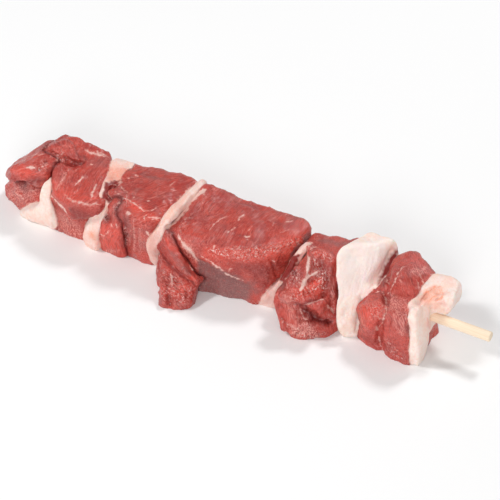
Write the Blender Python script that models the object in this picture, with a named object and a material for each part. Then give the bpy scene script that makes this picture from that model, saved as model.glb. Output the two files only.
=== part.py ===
"""Lamb kebab skewer: raw lamb chunks with their fat layers, threaded on a round wooden stick.

Run it with blender --background --python part.py, or from Blender's text editor.

The skewer lies along X on a table at Z = 0, with the bare end of the stick at +X and the front
at -Y. Every size below is in millimetres. Each piece of meat or fat is made of a few lobes: a lobe
is a rounded block lofted through four-cornered sections. The lobes of a piece are fused by a voxel
remesh, its hollows are cut, and the surface is softened, roughened by seeded noise and reduced.
Then the table, the stick and the neighbouring pieces are cut out of it, so that the pieces lie
against each other with a small gap.
"""

import math

import bmesh
import bpy
from mathutils import Vector, noise

MM = 0.001

# ---------------------------------------------------------------- driving dimensions

STICK_DIAMETER = 4.0
STICK_AXIS_HEIGHT = 13.0
STICK_POINT_X = -99.0
STICK_BUTT_X = 112.5
STICK_POINT_LENGTH = 12.0
STICK_CHAMFER = 0.4
STICK_SIDES = 20
SHARP_ANGLE = math.radians(40)

GAP = 0.35
SLIVER = 0.02
BORE_RADIUS = STICK_DIAMETER / 2 + GAP
BORE_OVERRUN = 1.0

LOBE_GRID = 12
SQUARENESS = 10.0
FUSE_VOXEL = 0.9
SOFTEN_STEPS = 2

LUMP_SIZE = 9.0
LUMP_HEIGHT = 0.9
GRAIN_SIZE = 3.6
GRAIN_HEIGHT = 0.35

TABLE_SIZE = (400.0, 200.0, 50.0)

MEAT_COLOUR = (0.46, 0.045, 0.035, 1.0)
FAT_COLOUR = (0.86, 0.55, 0.45, 1.0)
WOOD_COLOUR = (0.83, 0.62, 0.38, 1.0)


# ---------------------------------------------------------------- sections and lobes


def section(x, front, back, low, high, lean=0.0, skew=0.0, fall=0.0, tuck=0.0):
    """Four corners of an upright section across the skewer.

    lean moves the top edge along X, skew moves the front edge along X, fall lowers the top's
    front edge, and tuck moves that edge back.
    """
    return [
        Vector((x + skew, front, low)),
        Vector((x, back, low)),
        Vector((x + lean, back, high)),
        Vector((x + lean + skew, front + tuck, high - fall)),
    ]


def level(z, left, right, front, back, slant=0.0, swell=0.0):
    """Four corners of a level section; slant moves its back edge along X, and swell widens it."""
    return [
        Vector((left, front, z)),
        Vector((right, front, z)),
        Vector((right + slant + swell, back, z)),
        Vector((left + slant, back, z)),
    ]


def footprint(z, left_front, right_front, right_back, left_back):
    """Four corners of a level section, each given by its place in plan."""
    return [Vector((*place, z)) for place in (left_front, right_front, right_back, left_back)]


def slice_of(centre, across, through):
    """Four corners of a section given by its centre and its two full widths as vectors."""
    centre, across, through = Vector(centre), Vector(across) / 2, Vector(through) / 2
    return [
        centre - across - through,
        centre + across - through,
        centre + across + through,
        centre - across + through,
    ]


def smooth_between(points, t):
    """A point at t, from 0 to 1, on the Catmull-Rom curve through evenly spaced points."""
    spans = len(points) - 1
    span = min(int(t * spans), spans - 1)
    u = t * spans - span
    p1, p2 = points[span], points[span + 1]
    p0 = points[span - 1] if span > 0 else 2 * p1 - p2
    p3 = points[span + 2] if span + 2 <= spans else 2 * p2 - p1
    return (
        p1
        + (p2 - p0) * (u / 2)
        + (2 * p0 - 5 * p1 + 4 * p2 - p3) * (u * u / 2)
        + (3 * p1 - p0 - 3 * p2 + p3) * (u * u * u / 2)
    )


def add_lobe(bm, sections):
    """Adds a rounded block lofted through the sections."""
    made = bmesh.ops.create_cube(bm, size=2.0)
    bmesh.ops.subdivide_edges(
        bm,
        edges=list({e for v in made["verts"] for e in v.link_edges}),
        cuts=LOBE_GRID,
        use_grid_fill=True,
    )
    corners = [[s[corner] for s in sections] for corner in range(4)]
    for vert in [v for v in bm.verts if not v.tag]:
        size = sum(abs(c) ** SQUARENESS for c in vert.co) ** (1 / SQUARENESS)
        along, across, through = vert.co / size
        a, b, c, d = (smooth_between(line, (along + 1) / 2) for line in corners)
        low = a.lerp(b, (across + 1) / 2)
        high = d.lerp(c, (across + 1) / 2)
        vert.co = low.lerp(high, (through + 1) / 2) * MM
        vert.tag = True
    bmesh.ops.recalc_face_normals(bm, faces=bm.faces)


# ---------------------------------------------------------------- objects and modifiers


def material(name, colour, roughness):
    made = bpy.data.materials.new(name)
    made.use_nodes = True
    shader = made.node_tree.nodes["Principled BSDF"]
    shader.inputs["Base Color"].default_value = colour
    shader.inputs["Roughness"].default_value = roughness
    shader.inputs["Metallic"].default_value = 0.0
    return made


def new_object(name, bm, finish=None):
    mesh = bpy.data.meshes.new(name)
    bm.to_mesh(mesh)
    bm.free()
    made = bpy.data.objects.new(name, mesh)
    bpy.context.scene.collection.objects.link(made)
    if finish:
        mesh.materials.append(finish)
    return made


def apply_modifiers(obj):
    """Replaces the object's mesh with what its modifiers make of it."""
    bpy.context.view_layer.update()
    graph = bpy.context.evaluated_depsgraph_get()
    mesh = bpy.data.meshes.new_from_object(obj.evaluated_get(graph))
    obj.modifiers.clear()
    obj.data = mesh


def fuse(obj):
    modifier = obj.modifiers.new("Fuse", "REMESH")
    modifier.mode = "VOXEL"
    modifier.voxel_size = FUSE_VOXEL * MM
    apply_modifiers(obj)


def cut(obj, cutter):
    """Takes the cutter out of the object."""
    modifier = obj.modifiers.new("Cut", "BOOLEAN")
    modifier.operation = "DIFFERENCE"
    modifier.solver = "EXACT"
    modifier.object = cutter
    apply_modifiers(obj)


def clean_cuts(obj):
    """Drops the slivers and loose scraps that the cuts leave."""
    bm = bmesh.new()
    bm.from_mesh(obj.data)
    bmesh.ops.dissolve_degenerate(bm, dist=SLIVER * MM, edges=bm.edges)
    bmesh.ops.triangulate(bm, faces=bm.faces)
    left, bodies = set(bm.verts), []
    while left:
        body, edge = set(), [left.pop()]
        while edge:
            vert = edge.pop()
            body.add(vert)
            near = {e.other_vert(vert) for e in vert.link_edges} & left
            left -= near
            edge.extend(near)
        bodies.append(body)
    bodies.sort(key=len)
    bmesh.ops.delete(bm, geom=[v for b in bodies[:-1] for v in b], context="VERTS")
    bm.to_mesh(obj.data)
    bm.free()


def roughen(obj, seed):
    """Moves the surface in and out by two sizes of seeded noise."""
    offset = Vector((17.3 * seed, -9.1 * seed, 5.7 * seed))
    normals = [v.normal.copy() for v in obj.data.vertices]
    for vert, normal in zip(obj.data.vertices, normals):
        place = vert.co / MM
        lump = noise.noise(place / LUMP_SIZE + offset) * LUMP_HEIGHT
        grain = noise.noise(place / GRAIN_SIZE + offset) * GRAIN_HEIGHT
        vert.co += normal * ((lump + grain) * MM)


def lobes_object(name, lobes, finish=None):
    bm = bmesh.new()
    for sections in lobes:
        add_lobe(bm, sections)
    return new_object(name, bm, finish)


def chunk(name, finish, seed, triangles, lobes, hollows=()):
    """One piece of the food: lobes fused, hollows cut, then softened, roughened and reduced."""
    made = lobes_object(name, lobes, finish)
    fuse(made)
    if hollows:
        hollow = lobes_object(name + "_hollow", hollows)
        cut(made, hollow)
        bpy.data.objects.remove(hollow)
        fuse(made)
    soften = made.modifiers.new("Soften", "SMOOTH")
    soften.factor = 0.5
    soften.iterations = SOFTEN_STEPS
    apply_modifiers(made)
    roughen(made, seed)
    reduce = made.modifiers.new("Reduce", "DECIMATE")
    reduce.ratio = triangles / (2 * len(made.data.polygons))
    apply_modifiers(made)
    return made


def grown_copy(obj, amount):
    """A copy whose surface stands that much further out, to cut a neighbour with."""
    made = obj.copy()
    made.data = obj.data.copy()
    made.name = obj.name + "_cutter"
    bpy.context.scene.collection.objects.link(made)
    normals = [v.normal.copy() for v in made.data.vertices]
    for vert, normal in zip(made.data.vertices, normals):
        vert.co += normal * (amount * MM)
    return made


def box_of(objects):
    """The lowest and highest corner of the objects' vertices."""
    places = [v.co for obj in objects for v in obj.data.vertices]
    low = Vector([min(p[i] for p in places) for i in range(3)])
    high = Vector([max(p[i] for p in places) for i in range(3)])
    return low, high


def boxes_meet(one, other):
    low_one, high_one = box_of([one])
    low_other, high_other = box_of([other])
    return all(low_one[i] < high_other[i] and low_other[i] < high_one[i] for i in range(3))


# ---------------------------------------------------------------- the stick


def turned(name, profile, finish=None):
    """A body turned about the stick's axis from (x, radius) pairs that start and end on it."""
    bm = bmesh.new()
    axis = Vector((0, 0, STICK_AXIS_HEIGHT * MM))
    verts = [bm.verts.new(Vector((x, 0, STICK_AXIS_HEIGHT + r)) * MM) for x, r in profile]
    edges = [bm.edges.new(pair) for pair in zip(verts, verts[1:])]
    bmesh.ops.spin(
        bm,
        geom=verts + edges,
        cent=axis,
        axis=(1, 0, 0),
        angle=math.tau,
        steps=STICK_SIDES,
        use_merge=True,
    )
    bmesh.ops.remove_doubles(bm, verts=bm.verts, dist=0.0001 * MM)
    bmesh.ops.recalc_face_normals(bm, faces=bm.faces)
    made = new_object(name, bm, finish)
    made.data.shade_smooth()
    made.data.set_sharp_from_angle(angle=SHARP_ANGLE)
    return made


def build_stick(finish):
    """A round stick, pointed at the hidden end and lightly chamfered at the bare end."""
    radius = STICK_DIAMETER / 2
    profile = [
        (STICK_POINT_X, 0.0),
        (STICK_POINT_X + STICK_POINT_LENGTH, radius),
        (STICK_BUTT_X - STICK_CHAMFER, radius),
        (STICK_BUTT_X, radius - STICK_CHAMFER),
        (STICK_BUTT_X, 0.0),
    ]
    return turned("stick", profile, finish)


# ---------------------------------------------------------------- the pieces of meat and fat

# The pieces are in order of firmness: each is cut by the ones before it that it touches.
PIECES = {
    # A straight band of fat across the skewer, along the right side of meat_4.
    "fat_4": dict(
        triangles=400,
        lobes=[
            [
                level(-2, -31, -26, -13, 13),
                level(7, -31, -25.5, -18, 15),
                level(13, -30.5, -25, -20, 16),
                level(20, -28, -23, -18.5, 17),
                level(28, -25, -21, -15, 17),
            ]
        ],
    ),
    # The thick fat cap, whose face turns from the top at the back to the side at the front.
    "fat_7": dict(
        triangles=560,
        lobes=[
            [
                footprint(-2, (57, -14.5), (61.5, -13), (63, -2), (56, -2)),
                footprint(7, (55, -18), (63.5, -11), (64.5, 8), (54.5, 8)),
                footprint(14, (53, -15.5), (64.5, -3), (65, 16), (52, 16)),
                footprint(20.5, (49.5, -9.5), (64.5, 8), (65, 18.5), (49, 18.5)),
                footprint(28.5, (44.5, -1), (58, 11), (63, 18.5), (50, 18.5)),
            ]
        ],
    ),
    # The fat on the last chunk: an upright band in front and a thick lip folded over the stick.
    "fat_8": dict(
        triangles=700,
        lobes=[
            [
                level(-2, 86, 90.5, -15.5, -8),
                level(12, 86.5, 90.5, -17.5, -6),
                level(24, 84, 88.5, -16, 0, slant=-3),
            ],
            [
                level(13, 84, 92, 0, 9),
                level(19, 84, 95.5, -1, 11),
                level(25.5, 83, 98, -2, 11.5, swell=-4),
            ],
            [
                level(5, 83, 87.5, -12, 7),
                level(24, 81, 87.5, -10, 11),
            ],
        ],
        hollows=[
            [
                level(14, 87.5, 93, -5, 4),
                level(30, 87.5, 94.5, -9, 7.5),
            ]
        ],
    ),
    # A thin sheet of fat at the right end of meat_6.
    "fat_6": dict(
        triangles=270,
        lobes=[
            [
                level(-2, 17, 26, -14, 4),
                level(7, 22, 28, -14.5, 4),
                level(14, 27, 29.5, -10.5, 4),
                level(24, 30, 33, -9.5, 5),
            ]
        ],
    ),
    # A folded chunk: an upper slab that overhangs, a lower slab and a knob at the back.
    "meat_2": dict(
        triangles=950,
        lobes=[
            [
                section(-94, -13, 13, 16, 26.5, skew=14, fall=4),
                section(-81, -18, 14, 15.5, 27, skew=8, fall=6),
                section(-71, -20.5, 14, 15, 26.5, skew=8, fall=5, tuck=2),
                section(-67.5, -16, 13, 20, 25.5, skew=16, fall=2.5, tuck=1),
            ],
            [
                section(-86, -14.5, 13, -2, 19, skew=4),
                section(-72, -15, 13, -2, 19.5),
                section(-61, -14.5, 12, -2, 20),
            ],
            [
                section(-96, 1, 12, 18, 23),
                section(-90, -1, 14, 20, 28.5),
                section(-81, 1, 14, 20, 26.5),
            ],
            [
                slice_of((-89, 8, 26), (9, -2, 0), (1, 2, 6)),
                slice_of((-83, 4, 25.5), (9, -2, 0), (1, 2, 6)),
                slice_of((-79, 1, 23.5), (7, -2, 0), (1, 2, 4)),
            ],
        ],
    ),
    "meat_4": dict(
        triangles=780,
        lobes=[
            [
                section(-59, -13, 14, -2, 25.5, skew=12, fall=2, tuck=-2),
                section(-42, -14.5, 15, -2, 27, skew=3, fall=2.5, tuck=-4.5),
                section(-25, -14, 16, -2, 27, skew=-3, fall=4, tuck=-5),
            ],
            [
                section(-57, -9, 9, -2, 25, skew=1.5),
                section(-44, -11, 13, -2, 26.5),
            ],
        ],
    ),
    "fat_1": dict(
        triangles=320,
        lobes=[
            [
                level(-2, -101, -77, -14, 2),
                level(5, -92.5, -77, -17, 4),
                level(12, -85.5, -78, -17, 5),
                level(22.5, -83, -79.5, -15, 0),
            ]
        ],
    ),
    # Fat below and behind the right end of meat_2.
    "fat_2": dict(
        triangles=380,
        lobes=[
            [
                level(-2, -62, -54.5, -19, 10, slant=-4),
                level(8, -61.5, -53.5, -19.5, 12, slant=-6),
                level(18, -58, -52, -16, 14, slant=-7, swell=5),
                level(26, -58, -51, -8, 13.5, slant=-9, swell=8),
            ]
        ],
    ),
    # The chunk at the point: a thin upper lobe over a broader lower one.
    "meat_1": dict(
        triangles=720,
        lobes=[
            [
                section(-107.5, -8.5, 2, 12.5, 15.5),
                section(-101, -13, 5, 15.5, 21, tuck=2),
                section(-93, -15, 9, 18, 26, tuck=4, fall=1),
                section(-85, -13, 12, 18.5, 25, tuck=4, fall=1),
            ],
            [
                section(-112, -5, 0, 0, 3.5),
                section(-105, -9, 5, -2, 14, fall=5, tuck=3),
                section(-96, -13, 8, -2, 23, fall=11, tuck=4),
                section(-82, -15, 11, -2, 24, fall=10, tuck=3),
            ],
        ],
    ),
    # A small piece standing between fat_2 and meat_4.
    "meat_3": dict(
        triangles=340,
        lobes=[
            [
                level(-2, -54.5, -43.5, -16, 4),
                level(12, -55.5, -43, -18, 5),
                level(24, -50, -44, -15, 4, slant=-2),
            ]
        ],
        hollows=[
            [
                slice_of((-57, -20, 22), (5, 0, 0), (0, 8, 6)),
                slice_of((-50, -19, 15), (3, 0, 0), (0, 5, 4)),
            ]
        ],
    ),
    # The largest chunk, whose left end overhangs.
    "meat_6": dict(
        triangles=1000,
        lobes=[
            [
                section(-7, -20.5, 14, -2, 28, lean=-19, skew=1, fall=5.5, tuck=4),
                section(6, -16, 15.5, -2, 26.5, lean=-3, fall=4, tuck=-1.5),
                section(26, -15.5, 14, -2, 27.5, lean=4, skew=-5, fall=2.5, tuck=6),
            ]
        ],
    ),
    # A small chunk pressed out at the front, with a slanting roll and a hanging flap.
    "meat_5": dict(
        triangles=750,
        lobes=[
            [
                level(-2, -26, -8, -16, 10),
                level(19, -27, -15, -13, 10),
            ],
            [
                slice_of((-24, -15, 19), (6, 2, 6), (1, 5, -1)),
                slice_of((-16, -20, 12), (6, 2, 6), (1, 5, -1)),
                slice_of((-6, -22, 4.5), (5, 2, 5), (1, 5, -1)),
            ],
            [
                slice_of((-20, -16, 7), (12, 4, 0), (0, 2, 9)),
                slice_of((-13, -23, 4), (15, 5, 0), (0, 1, 8)),
                slice_of((-8, -33, 1), (11, 5, 0), (0, 0, 5)),
            ],
        ],
    ),
    # A ragged chunk: a body, a lower roll curled under it, a nub between them and a ridge above it.
    "meat_7": dict(
        triangles=1050,
        lobes=[
            [
                section(31.5, -13, 9, 7, 22, lean=2, tuck=3),
                section(38, -17, 12, 9, 25.5, tuck=4),
                section(45, -17, 14, 9, 24.5, tuck=5, fall=1),
                section(50.5, -16.5, 16, 6, 27, lean=-2.5, skew=2, fall=8, tuck=8),
            ],
            [
                section(29.5, 0, 11, 12, 23),
                section(36, -1, 12, 12, 24.5),
                section(43, 2, 12, 12, 24),
            ],
            [
                section(33, -10, 9, -2, 12),
                section(52, -9, 9, -2, 12),
            ],
            [
                slice_of((32, -8, 16), (6, 0, 3), (2, 7, 2)),
                slice_of((34, -14, 11), (8, 0, 4), (4, 9, 0)),
                slice_of((39, -18.5, 6), (7.5, 0, 5), (4, 9, 0)),
                slice_of((45, -20, 3.5), (2, 0, 10), (2, 9, 0)),
                slice_of((53.5, -14, 4), (0, 0, 10), (4, 9, 0)),
            ],
            [
                slice_of((33, -19.5, 15.5), (1, 0, 4), (0, 5, 0)),
                slice_of((41, -20, 14), (1, 0, 5), (0, 6, 0)),
                slice_of((50, -16.5, 12), (1, 0, 7), (0, 6, 0)),
            ],
            [
                slice_of((36.5, -12.5, 24), (7, 0, 0), (0, 3, 2)),
                slice_of((37.5, -16.5, 18.5), (7, 0, 0), (0, 4, 1)),
                slice_of((40, -18.5, 14), (7, 0, 0), (0, 4, 1)),
            ],
        ],
        hollows=[
            [
                slice_of((37, -20, 9.5), (1, 0, 3), (0, 9, 0)),
                slice_of((46, -20, 8.5), (1, 0, 5.5), (0, 16, 0)),
                slice_of((55, -19, 6.5), (1, 0, 6), (0, 16, 0)),
            ]
        ],
    ),
    # The last chunk: a nub behind the fat cap, a roll on top and an upright slab.
    "meat_8": dict(
        triangles=1000,
        lobes=[
            [
                section(60, -10, 8, -2, 14),
                section(68, -15, 10, -2, 19),
                section(75, -14, 10, -2, 20),
            ],
            [
                section(76, -16, 10, -2, 22, lean=-3, fall=1),
                section(88, -17.5, 8, -2, 24, lean=-3, fall=1),
            ],
            [
                section(65, 0, 14, 10, 23),
                section(72, -3, 15.5, 12, 28.5),
                section(79, -4, 13, 12, 26.5),
                section(86, -5, 10, 12, 22),
            ],
        ],
        hollows=[
            [
                slice_of((77, -18, 24), (4, 0, 0), (0, 6, 5)),
                slice_of((76, -18, 3), (3, 0, 0), (0, 5, 3)),
            ]
        ],
    ),
}


def build_table_cutter():
    bm = bmesh.new()
    bmesh.ops.create_cube(bm, size=1.0)
    bmesh.ops.scale(bm, verts=bm.verts, vec=Vector(TABLE_SIZE) * MM)
    bmesh.ops.translate(bm, verts=bm.verts, vec=(0, 0, -TABLE_SIZE[2] / 2 * MM))
    return new_object("table_cutter", bm)


def build_bore_cutter():
    """The room for the stick, from just beyond its hidden point to just beyond its bare end."""
    start, end = STICK_POINT_X - BORE_OVERRUN, STICK_BUTT_X + BORE_OVERRUN
    return turned("bore_cutter", [(start, 0), (start, BORE_RADIUS), (end, BORE_RADIUS), (end, 0)])


def settle(objects):
    """Moves everything so that the origin is below the middle of the box around it."""
    low, high = box_of(objects)
    move = Vector(((low.x + high.x) / 2, (low.y + high.y) / 2, low.z))
    for obj in objects:
        for vert in obj.data.vertices:
            vert.co -= move


def main():
    for old in list(bpy.data.objects):
        bpy.data.objects.remove(old)
    meat = material("raw_meat", MEAT_COLOUR, 0.35)
    fat = material("raw_fat", FAT_COLOUR, 0.45)
    wood = material("wood", WOOD_COLOUR, 0.6)

    table, bore = build_table_cutter(), build_bore_cutter()
    pieces, cutters = [], []
    for seed, (name, shape) in enumerate(PIECES.items()):
        piece = chunk(name, fat if name.startswith("fat") else meat, seed, **shape)
        whole = grown_copy(piece, GAP)
        for cutter in [table, bore, *cutters]:
            if boxes_meet(piece, cutter):
                cut(piece, cutter)
        clean_cuts(piece)
        pieces.append(piece)
        cutters.append(whole)
    for helper in [table, bore, *cutters]:
        bpy.data.objects.remove(helper)
    settle([*pieces, build_stick(wood)])


main()
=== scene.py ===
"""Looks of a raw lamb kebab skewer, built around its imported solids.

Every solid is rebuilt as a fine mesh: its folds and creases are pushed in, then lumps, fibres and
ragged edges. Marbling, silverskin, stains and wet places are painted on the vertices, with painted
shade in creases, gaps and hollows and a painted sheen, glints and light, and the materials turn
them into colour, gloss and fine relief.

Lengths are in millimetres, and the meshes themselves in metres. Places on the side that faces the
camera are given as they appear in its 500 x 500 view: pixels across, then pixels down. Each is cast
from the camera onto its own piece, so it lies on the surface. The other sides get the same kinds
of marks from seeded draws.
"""

import math

import bmesh
import bpy
import numpy as np
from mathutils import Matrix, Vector
from mathutils.bvhtree import BVHTree


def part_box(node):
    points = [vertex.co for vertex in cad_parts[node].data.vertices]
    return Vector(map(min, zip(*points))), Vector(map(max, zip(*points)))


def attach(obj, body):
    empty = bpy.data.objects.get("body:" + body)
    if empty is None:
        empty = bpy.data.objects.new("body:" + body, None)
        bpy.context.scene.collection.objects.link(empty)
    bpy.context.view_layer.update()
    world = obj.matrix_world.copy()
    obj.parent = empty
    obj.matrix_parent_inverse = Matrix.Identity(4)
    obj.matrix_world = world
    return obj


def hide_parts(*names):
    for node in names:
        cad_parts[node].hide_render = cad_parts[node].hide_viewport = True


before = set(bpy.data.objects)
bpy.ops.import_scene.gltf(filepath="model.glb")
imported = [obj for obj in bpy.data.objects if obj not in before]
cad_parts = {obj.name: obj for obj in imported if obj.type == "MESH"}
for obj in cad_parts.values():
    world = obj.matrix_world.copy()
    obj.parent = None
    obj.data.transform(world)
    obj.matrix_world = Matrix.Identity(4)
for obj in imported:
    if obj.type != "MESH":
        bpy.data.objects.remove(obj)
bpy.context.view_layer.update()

MM = 0.001

# -------- the camera

VIEW_SIZE = 500
VIEW_AZIMUTH = math.radians(30.4)
VIEW_ELEVATION = math.radians(38.0)
VIEW_DISTANCE = 750.0
LENS = 135.0
SENSOR = 36.0
CLIP = (0.01, 20.0)
AIM_BEFORE_BUTT = 105.5

STICK_LOW, STICK_HIGH = (np.array(corner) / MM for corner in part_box("stick"))
STICK_AXIS = (STICK_LOW + STICK_HIGH) / 2
STICK_RADIUS = (STICK_HIGH[2] - STICK_LOW[2]) / 2
AIM = np.array([STICK_HIGH[0] - AIM_BEFORE_BUTT, STICK_AXIS[1], STICK_AXIS[2]])
VIEW_BACK = np.array([
    math.sin(VIEW_AZIMUTH) * math.cos(VIEW_ELEVATION),
    -math.cos(VIEW_AZIMUTH) * math.cos(VIEW_ELEVATION),
    math.sin(VIEW_ELEVATION),
])
VIEW_RIGHT = np.array([math.cos(VIEW_AZIMUTH), math.sin(VIEW_AZIMUTH), 0.0])
VIEW_UP = np.cross(VIEW_BACK, VIEW_RIGHT)
EYE = AIM + VIEW_BACK * VIEW_DISTANCE
PIXELS_PER_SLOPE = VIEW_SIZE * LENS / SENSOR


def sight(across, down):
    """The direction in which the camera sees a pixel of its view."""
    right = (across - VIEW_SIZE / 2) / PIXELS_PER_SLOPE
    up = (VIEW_SIZE / 2 - down) / PIXELS_PER_SLOPE
    line = VIEW_RIGHT * right + VIEW_UP * up - VIEW_BACK
    return line / np.linalg.norm(line)


def seen_at(points):
    """Where the camera's view shows the points: pixels across and down."""
    offset = points - EYE
    ahead = -(offset @ VIEW_BACK)
    across = VIEW_SIZE / 2 + PIXELS_PER_SLOPE * (offset @ VIEW_RIGHT) / ahead
    down = VIEW_SIZE / 2 - PIXELS_PER_SLOPE * (offset @ VIEW_UP) / ahead
    return np.stack([across, down], 1)


def new_object(name, data):
    made = bpy.data.objects.new(name, data)
    bpy.context.scene.collection.objects.link(made)
    return made


def aim(obj, place, direction):
    """Puts a camera or a light at the place, looking in the direction."""
    obj.location = place
    obj.rotation_mode = "QUATERNION"
    obj.rotation_quaternion = direction.to_track_quat("-Z", "Y")


def add_camera():
    data = bpy.data.cameras.new("camera")
    data.lens, data.sensor_width = LENS, SENSOR
    data.clip_start, data.clip_end = CLIP
    camera = new_object("camera", data)
    aim(camera, Vector(EYE) * MM, Vector(-VIEW_BACK))
    bpy.context.scene.camera = camera


# -------- noise and small maths

# A common integer hash: odd multipliers for the cell and the seed, then shifts and multipliers.
HASH_CELL = (73856093, 19349663, 83492791)
HASH_SEED = 668265263
HASH_ROUNDS = ((15, 2246822519), (13, 3266489917))
HASH_LAST_SHIFT = 16
HASH_MASK = 0xFFFFFFFF
NOISE_GAIN = 1.6


def ease(values, low, high):
    """0 below low, 1 above high and smooth between them; it falls where low is above high."""
    t = np.clip((values - low) / (high - low), 0, 1)
    return t * t * (3 - 2 * t)


def noise3(points, seed):
    """Smooth seeded noise, from about -1 to 1, at each row of points; its lumps are 1 across."""
    cell = np.floor(points).astype(np.int64)
    inside = points - cell
    fade = inside**3 * (inside * (inside * 6 - 15) + 10)
    total = np.zeros(len(points))
    for corner in np.ndindex(2, 2, 2):
        place = cell + corner
        mixed = np.bitwise_xor.reduce(place * HASH_CELL, axis=1)
        mixed = (mixed ^ seed * HASH_SEED) & HASH_MASK
        for shift, multiplier in HASH_ROUNDS:
            mixed = (mixed ^ (mixed >> shift)) * multiplier & HASH_MASK
        mixed ^= mixed >> HASH_LAST_SHIFT
        slope = np.stack([(mixed >> shift & 1023) / 511.5 - 1 for shift in (0, 10, 20)], 1)
        weight = np.where(corner, fade, 1 - fade).prod(1)
        total += weight * (slope * (inside - corner)).sum(1)
    return total * NOISE_GAIN


# -------- a mesh as arrays


def applied(obj):
    """Replaces the object's mesh with what its modifiers make of it."""
    bpy.context.view_layer.update()
    graph = bpy.context.evaluated_depsgraph_get()
    mesh = bpy.data.meshes.new_from_object(obj.evaluated_get(graph))
    obj.modifiers.clear()
    obj.data = mesh


def remesh(obj, voxel, smoothing):
    modifier = obj.modifiers.new("Remesh", "REMESH")
    modifier.mode = "VOXEL"
    modifier.voxel_size = voxel * MM
    applied(obj)
    if smoothing:
        modifier = obj.modifiers.new("Smooth", "SMOOTH")
        modifier.factor = 0.5
        modifier.iterations = smoothing
        applied(obj)


def pulled(items, name, columns, kind=np.float32):
    """A property of a mesh's vertices or edges as an array, a row each."""
    values = np.empty(len(items) * columns, kind)
    items.foreach_get(name, values)
    return values.reshape(-1, columns)


class Surface:
    """A mesh object with its vertices (mm), normals, edges and painted values as arrays."""

    def __init__(self, obj):
        self.obj = obj
        self.paint = {}
        self.read()

    def read(self):
        mesh = self.obj.data
        self.co = pulled(mesh.vertices, "co", 3).astype(float) / MM
        self.normal = pulled(mesh.vertex_normals, "vector", 3).astype(float)
        self.edges = pulled(mesh.edges, "vertices", 2, np.int32)
        self.degree = np.bincount(self.edges.ravel(), minlength=len(self.co))
        bpy.context.view_layer.update()
        self.tree = BVHTree.FromObject(self.obj, bpy.context.evaluated_depsgraph_get())

    def write(self):
        mesh = self.obj.data
        mesh.vertices.foreach_set("co", (self.co * MM).astype(np.float32).ravel())
        mesh.update()
        self.read()

    def remeshed(self, voxel, smoothing):
        remesh(self.obj, voxel, smoothing)
        self.read()

    def averaged(self, values, steps):
        """The values, each mixed with its neighbours' mean that many times."""
        one, other = self.edges.T
        for _ in range(steps):
            columns = []
            for column in np.atleast_2d(values.T):
                total = np.bincount(one, column[other], len(self.co))
                total += np.bincount(other, column[one], len(self.co))
                columns.append(total / np.maximum(self.degree, 1))
            mean = np.array(columns).T.reshape(values.shape)
            values = (values + mean) / 2
        return values

    def bulge(self, steps=6):
        """How far each vertex stands out from its surroundings, in mm; hollows are negative."""
        return ((self.co - self.averaged(self.co, steps)) * self.normal).sum(1)

    def layer(self, name):
        return self.paint.setdefault(name, np.zeros(len(self.co)))

    def at_least(self, name, values):
        """Raises a painted layer to the values, where it is lower."""
        layer = self.layer(name)
        layer[:] = np.maximum(layer, values)

    def store(self):
        """Writes the painted values to the mesh, for the material."""
        mesh = self.obj.data
        for name, values in self.paint.items():
            kind = "FLOAT_VECTOR" if values.ndim == 2 else "FLOAT"
            field = "vector" if values.ndim == 2 else "value"
            attribute = mesh.attributes.new(name, kind, "POINT")
            attribute.data.foreach_set(field, values.astype(np.float32).ravel())


# -------- paths on a surface

CAST_SPACING = 0.8
REACH_IN_WIDTHS = 3.5
FACING_AWAY = -0.2
FAR_AWAY = 99.0


class Path:
    """Points along a line on a surface, with its normals there."""

    def __init__(self, places, normals):
        self.places = np.array(places, float).reshape(-1, 3)
        self.normals = np.array(normals, float).reshape(-1, 3)

    def __len__(self):
        return len(self.places)

    def sides(self):
        """At each point, the direction to the right of the path, along the surface."""
        along = np.gradient(self.places, axis=0)
        side = np.cross(along, self.normals)
        return side / np.maximum(np.linalg.norm(side, axis=1, keepdims=True), 1e-9)


def cast(surface, pixels):
    """The path that a line through those pixels of the view makes on the surface."""
    pixels = np.array(pixels, float).reshape(-1, 2)
    if len(pixels) > 1:
        lengths = np.linalg.norm(np.diff(pixels, axis=0), axis=1)
        along = np.concatenate([[0], np.cumsum(lengths)])
        steps = np.linspace(0, along[-1], max(2, int(along[-1] / CAST_SPACING)))
        pixels = np.stack([np.interp(steps, along, pixels[:, i]) for i in (0, 1)], 1)
    places, normals = [], []
    for across, down in pixels:
        hit, normal, _, _ = surface.tree.ray_cast(Vector(EYE) * MM, Vector(sight(across, down)))
        if hit:
            places.append(np.array(hit) / MM)
            normals.append(np.array(normal))
    return Path(places, normals)


def nearness(surface, path, widths):
    """Which vertices lie near the path, and for those: distance in widths, and nearest point.

    Vertices on the other side of a thin piece don't count.
    """
    reach = REACH_IN_WIDTHS * np.max(widths)
    low, high = path.places.min(0) - reach, path.places.max(0) + reach
    near = np.nonzero(((surface.co > low) & (surface.co < high)).all(1))[0]
    if not len(near):
        return near, np.zeros(0), near
    gap = surface.co[near, None] - path.places[None]
    share = np.linalg.norm(gap, axis=2) / widths
    facing = surface.normal[near] @ path.normals.T
    share[facing < FACING_AWAY] = FAR_AWAY
    nearest = share.argmin(1)
    return near, share[np.arange(len(near)), nearest], nearest


def even_width(path, width):
    return np.full(len(path), float(width))


def swelling(path, width, seed):
    """A width for each point of a path: thin at the ends and uneven between them."""
    if len(path) < 3:
        return even_width(path, width)
    along = np.linspace(0, 1, len(path))
    ends = 0.15 + 0.75 * np.sin(math.pi * along) ** 0.7
    uneven = 1 + 0.8 * noise3(path.places * 0.9, seed)
    return width * ends * np.maximum(uneven, 0.25)


# -------- pushing shapes in and out


def push(surface, path, width, height):
    """Raises a ridge along the path, or a groove where height is negative."""
    near, share, _ = nearness(surface, path, even_width(path, width))
    surface.co[near] += surface.normal[near] * (height * np.exp(-(share**2)))[:, None]


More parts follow.
